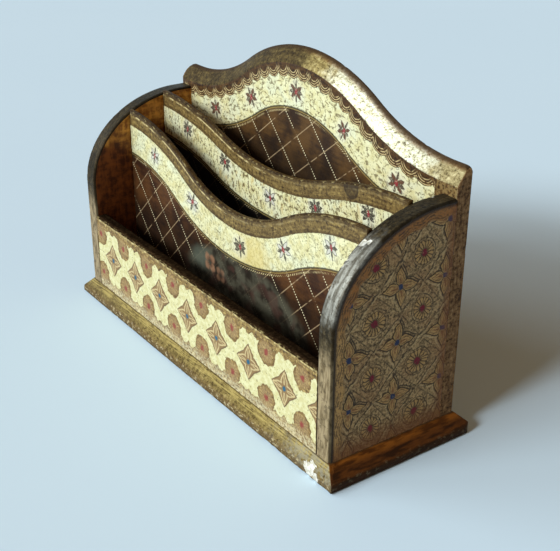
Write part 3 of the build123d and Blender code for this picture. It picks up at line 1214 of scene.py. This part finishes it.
def divider(node, dip, bend, blooms, material, seed):
    """Thin board with a dip in its top, between the end panels."""
    low, high = corners(node)
    thickness = high[1] - low[1]
    line = wave_line(inner_x + DIVIDER_HOUSED, inner_x, high[2] - dip, high[2], high[2], bend)

    def inset(depth):
        return rounded(depth, thickness, DIVIDER_RADIUS)

    depths = rounded_depths(thickness, DIVIDER_RADIUS, DIVIDER_DEPTH_STEP)
    board = waved_board(node + "_board", line, blooms, low[1], depths, inset, inset, COARSE_STEP)
    board.wear(seed, depth=DIVIDER_UNEVEN_DEPTH)
    return board.make([material, divider_edge_paint, inside_paint], node, "cream_divider")


def back_board(material, edge_paint, seed):
    """Board behind the pockets, with a crest, and shoulders rounded at their ends."""
    shoulder_x = back_high[0] - BACK_SHOULDER_LENGTH
    levels = back_high[2], BACK_LEFT_SHOULDER, BACK_RIGHT_SHOULDER
    line = wave_line(back_high[0], shoulder_x, *levels, BACK_BEND)

    def side_inset(depth):
        return rounded(depth, back_thickness, BACK_RADIUS)

    def top_inset(depth):
        left = max(1 - depth / BACK_BEVEL_DEPTH, 0.0)
        behind = side_inset(max(depth, back_thickness / 2))
        arris = BACK_ARRIS_DROP * np.exp(-depth / BACK_ARRIS_DEPTH)
        return BACK_BEVEL_DROP * left**BACK_BEVEL_BOW + behind + arris

    depths = np.array([*BACK_DEPTHS, back_thickness])
    name = "back_board"
    board = waved_board(name, line, BACK_BLOOMS, back_low[1], depths, top_inset, side_inset, BACK_STEP)
    board.round_corner([0, 2], (back_low[0], BACK_LEFT_SHOULDER), BACK_CORNER_RADIUS)
    board.round_corner([0, 2], (back_high[0], BACK_RIGHT_SHOULDER), BACK_CORNER_RADIUS)
    board.wear(seed)
    return board.make([material, edge_paint, rear_paint], "back_panel", "cream_back")


def front_board(seed):
    """Low board between the end panels, tooled on its front."""
    columns = int((front_high[0] - front_low[0]) / FINE_STEP)
    rows = int((front_high[2] - front_low[2]) / FINE_STEP)
    left, right = front_low[0] - JOINT, front_high[0] + JOINT

    def ring(depth):
        high = front_high[2] - rounded(depth, front_thickness, FRONT_RADIUS)
        return rectangle(left, right, front_low[2] - JOINT, high, columns, rows)

    depths = rounded_depths(front_thickness, FRONT_RADIUS, FRONT_DEPTH_STEP)
    board = Board("front_board", ring, depths, standing_at(front_low[1]))
    x, z, _ = board.plan.T
    board.band = np.column_stack([x, front_high[2] - z])
    places = (FRONT_LOZENGES[0] - FRONT_STEP, *FRONT_LOZENGES)
    cell = np.interp(x, places, np.arange(len(places)))
    height = z - FRONT_MIDDLE_Z
    board.cell = np.column_stack([cell, height])
    by_rosette, by_diamond = front_cell(cell, height)
    board.carve(np.maximum(rosette(*by_rosette)[0], diamond(*by_diamond)[0]))
    board.wear(seed)
    return board.make([front_material(), front_edge_paint, inside_paint], "front_panel", "cream_front")


def arch_line(low, high):
    """Outline of an end panel from the foot of its front edge over the arch to its back."""
    turn = np.linspace(np.pi, np.pi / 2, ARCH_POINTS)
    y = low[1] + END_ARCH_RUN * (1 + np.cos(turn))
    z = high[2] + END_ARCH_RISE * (np.sin(turn) - 1)
    front = straight((low[1], low[2]), (y[0], z[0]), ARCH_FRONT_POINTS)[:-1]
    level = straight((y[-1], z[-1]), (high[1], high[2]), ARCH_LEVEL_POINTS)[1:]
    return np.vstack([front, np.column_stack([y, z]), level])


def end_board(node, outer_x, inward, edge_paint, seed, chips=()):
    """Arched end panel, tooled on its outside."""
    low, high = corners(node)
    thickness = high[0] - low[0]
    line = arch_line(low, high)
    along = np.gradient(line, axis=0)
    along = along / np.linalg.norm(along, axis=1, keepdims=True)
    inner = np.column_stack([along[:, 1], -along[:, 0]])
    knee = int(np.argmin(np.abs(along[:, 0] - along[:, 1])))
    columns = int((high[1] - low[1]) / FINE_STEP)
    rows = int((high[2] - low[2]) / FINE_STEP)

    def ring(depth):
        outline = line + rounded(depth, thickness, END_RADIUS) * inner
        outline[0, 1] = low[2] - JOINT
        outline[-1, 0] = high[1] + JOINT
        bottom = straight(outline[0], (outline[-1, 0], outline[0, 1]), columns)
        right = straight(bottom[-1], outline[-1], rows)
        return bottom, right, resample(outline[knee:], columns), resample(outline[: knee + 1], rows)

    def place(plan):
        return np.column_stack([outer_x + inward * plan[:, 2], plan[:, 0], plan[:, 1]])

    depths = rounded_depths(thickness, END_RADIUS, END_DEPTH_STEP)
    board = Board(node + "_board", ring, depths, place)
    y, z, _ = board.plan.T
    board.band = np.column_stack(measure(line, board.plan[:, :2]))
    sway = rough(board.plan * (1, 1, 0), END_SWAY_SIZE, 5) - 0.5
    swing = rough(board.plan * (1, 1, 0), END_SWAY_SIZE, 6) - 0.5
    across = (y - END_ROSETTE_Y + END_SWAY * sway) / END_STEP
    up = (z - END_ROSETTE_Z + END_SWAY * swing) / END_STEP
    board.cell = np.column_stack([across, up])
    flowers = rosette(*end_cell(across, up))[0]
    petals = quatrefoil(*end_cell(across, up, 0.5))[0]
    rim = ease(board.band[:, 1], END_RIM + 1.4, END_RIM)
    board.carve(np.maximum(np.maximum(petals, flowers), rim))
    board.wear(seed, chips)
    return board.make([end_paint, edge_paint, inside_paint], node, "tooled_end")


def base_board(seed):
    """Board that the holder stands on: a bevel, then an upright lip, with one worn corner."""
    columns = int((base_high[0] - base_low[0]) / COARSE_STEP)
    rows = int((base_high[1] - base_low[1]) / COARSE_STEP)

    def ring(depth):
        under = rounded(max(depth, base_thickness / 2), base_thickness, BASE_RADIUS)
        left, right, front, rear = (
            softened(reach * (1 - depth / bevel_drop)) + under for reach in bevel_reach.values()
        )
        return rectangle(
            base_low[0] + left, base_high[0] - right, base_low[1] + front, base_high[1] - rear, columns, rows
        )

    def place(plan):
        return np.column_stack([plan[:, 0], plan[:, 1], base_high[2] - plan[:, 2]])

    bevel = np.linspace(0, bevel_drop - BEVEL_STOP, BEVEL_RINGS)
    lip = np.linspace(bevel_drop - LIP_STOP, base_thickness - BASE_RADIUS, LIP_RINGS)
    under = base_thickness - BASE_RADIUS * (1 - np.cos(np.linspace(np.pi / 2, 0, CURVE_POINTS)))
    depths = np.concatenate([bevel, lip, under[1:]])
    board = Board("base_moulding", ring, depths, place, [bevel_drop, base_thickness])
    x, y, depth = board.plan.T
    past_end = (np.abs(x) - right_high[0]) / bevel_reach["right"]
    past_back = (np.abs(y) - back_high[1]) / bevel_reach["rear"]
    board.band = np.column_stack([np.where(past_end > past_back, y, x), depth])
    board.round_corner([0, 1], (base_high[0], base_high[1]), BASE_CORNER_RADIUS)
    underside = board.points[:, 2] < STILL_BELOW
    board.wear(seed, BASE_CHIPS, still=underside)
    return board.make([inside_paint, base_material(), rear_paint], "base_board", "gilt_base")


# Pieces and their materials. The last number of each board is its seed for wear.
divider_edge_paint = edge_material(
    "divider_edge", (46, 31, 15), (80, 59, 28), (116, 92, 48), darker_behind=0.0, metallic=0.05
)
front_edge_paint = edge_material(
    "front_edge", (34, 23, 14), (56, 41, 27), (88, 70, 46), darker_behind=0.65, metallic=0.0
)
inside_paint = inside_material()
rear_paint = rear_material()
end_paint = end_material()
front_divider_paint = painted_board(
    "cream_front_divider",
    cream=dict(stretch_s=1.0, stretch_d=0.6, cracks=0.4, specks=0.8, flakes=0.15),
    field=dict(dark=(44, 22, 9), light=(84, 52, 25), painted_shade_below=59.0, angles=DIVIDER_LATTICE, drawn=1.0),
    flowers=dict(filled=(0, 1, 3, 4), petals=(52, 44, 38), insides=(206, 202, 186)),
    oval=True,
)
rear_divider_paint = painted_board(
    "cream_rear_divider",
    cream=dict(stretch_s=1.0, stretch_d=0.35, cracks=0.85, specks=0.7, flakes=0.5),
    # Near-black field and faint lattice: painted shade, where the front divider shadows the rear divider.
    field=dict(dark=(6, 4, 3), light=(14, 9, 6), painted_shade_below=10.0, angles=DIVIDER_LATTICE, drawn=0.2),
    flowers=dict(filled=(2,), petals=(36, 26, 20), insides=(206, 202, 186)),
    stain=(70.8, 121.0, 5.6),
)
back_paint = painted_board(
    "cream_back",
    cream=dict(stretch_s=0.45, stretch_d=1.0, cracks=0.75, specks=0.45, flakes=0.1),
    field=dict(dark=(44, 27, 12), light=(84, 58, 28), painted_shade_below=108.0, angles=BACK_LATTICE, drawn=1.0),
    flowers=dict(filled=(0, 1, 2, 3, 4), petals=(58, 40, 30), insides=(98, 66, 47)),
    scalloped=True,
)
divider("front_divider", FRONT_DIVIDER_DIP, FRONT_DIVIDER_BEND, FRONT_DIVIDER_BLOOMS, front_divider_paint, 11)
divider("rear_divider", REAR_DIVIDER_DIP, REAR_DIVIDER_BEND, REAR_DIVIDER_BLOOMS, rear_divider_paint, 12)
back_board(back_paint, back_edge_material(), 21)
front_board(31)
end_board("left_end_panel", left_low[0], 1, end_edge_material("left_end_edge", False), 41)
right_edge_paint = end_edge_material("rubbed_end_edge", True)
end_board("right_end_panel", right_high[0], -1, right_edge_paint, 42, chips=RIGHT_END_CHIPS)
base_board(51)

# Brads stay as they are, out of sight in the boards
steel_paint = steel_material()
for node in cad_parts:
    if node.endswith("_brads"):
        brad = bpy.data.objects[node]
        brad.data.materials.clear()
        brad.data.materials.append(steel_paint)

# Floor, in metres
FLOOR_HALF = 6.0
FLOOR_Z = -0.0002
floor_corners = [(FLOOR_HALF * x, FLOOR_HALF * y, FLOOR_Z) for x, y in ((-1, -1), (1, -1), (1, 1), (-1, 1))]
floor_mesh = bpy.data.meshes.new("floor")
floor_mesh.from_pydata(floor_corners, [], [(0, 1, 2, 3)])
floor_mesh.materials.append(floor_material())
floor = bpy.data.objects.new("floor", floor_mesh)
bpy.context.scene.collection.objects.link(floor)


# Light: a frontal key, a broad light to its left and a weaker one further left
def sun(name, leftward, height, width, strength, colour):
    """Soft distant light: degrees to the left of the front, degrees up and degrees across."""
    turn = np.radians(leftward)
    rise = np.radians(height)
    direction = Vector((-np.sin(turn) * np.cos(rise), -np.cos(turn) * np.cos(rise), np.sin(rise)))
    data = bpy.data.lights.new(name, "SUN")
    data.angle = np.radians(width)
    data.energy = strength
    data.color = colour
    lamp = bpy.data.objects.new(name, data)
    lamp.location = direction
    lamp.rotation_euler = direction.to_track_quat("Z", "Y").to_euler()
    bpy.context.scene.collection.objects.link(lamp)


sun("key_sun", leftward=-4.5, height=28.5, width=14.0, strength=2.0, colour=(0.88, 0.95, 1.0))
sun("broad_sun", leftward=14.0, height=27.0, width=24.0, strength=1.75, colour=(0.86, 0.95, 1.0))
sun("left_sun", leftward=48.0, height=26.0, width=36.0, strength=1.15, colour=(0.86, 0.95, 1.0))

# World: a faint warm light, and a pale backdrop where it is seen straight or in a reflection
world = bpy.data.worlds.new("studio")
world.use_nodes = True
world_tree = world.node_tree
warmth = world_tree.nodes["Background"]
warmth.inputs["Color"].default_value = (1.0, 0.67, 0.39, 1.0)
warmth.inputs["Strength"].default_value = 0.2
backdrop = world_tree.nodes.new("ShaderNodeBackground")
plug(backdrop.inputs["Color"], (197, 216, 227))
light_path = world_tree.nodes.new("ShaderNodeLightPath")
seen = 0.0
for kind in ("Camera", "Glossy", "Transmission"):
    seen = most(seen, Field(world_tree, light_path.outputs[f"Is {kind} Ray"]))
sky = world_tree.nodes.new("ShaderNodeMixShader")
plug(sky.inputs[0], seen)
world_tree.links.new(warmth.outputs[0], sky.inputs[1])
world_tree.links.new(backdrop.outputs[0], sky.inputs[2])
world_tree.links.new(sky.outputs[0], world_tree.nodes["World Output"].inputs["Surface"])
bpy.context.scene.world = world
bpy.context.scene.view_settings.view_transform = "Standard"

# Camera at the photograph's place, in metres
CAMERA_PLACE = (0.4296, -0.2874, 0.2964)
CAMERA_RIGHT = (0.57761, 0.81631, 0.00331)
CAMERA_UP = (-0.35406, 0.24687, 0.90205)
CAMERA_BACK = (0.73554, -0.52220, 0.43162)
camera_data = bpy.data.cameras.new("camera")
camera_data.lens = 66.29
camera_data.sensor_width = 36.0
camera_data.sensor_fit = "HORIZONTAL"
camera = bpy.data.objects.new("camera", camera_data)
turned = Matrix((CAMERA_RIGHT, CAMERA_UP, CAMERA_BACK)).transposed().to_4x4()
camera.matrix_world = Matrix.Translation(CAMERA_PLACE) @ turned
bpy.context.scene.collection.objects.link(camera)
bpy.context.scene.camera = camera
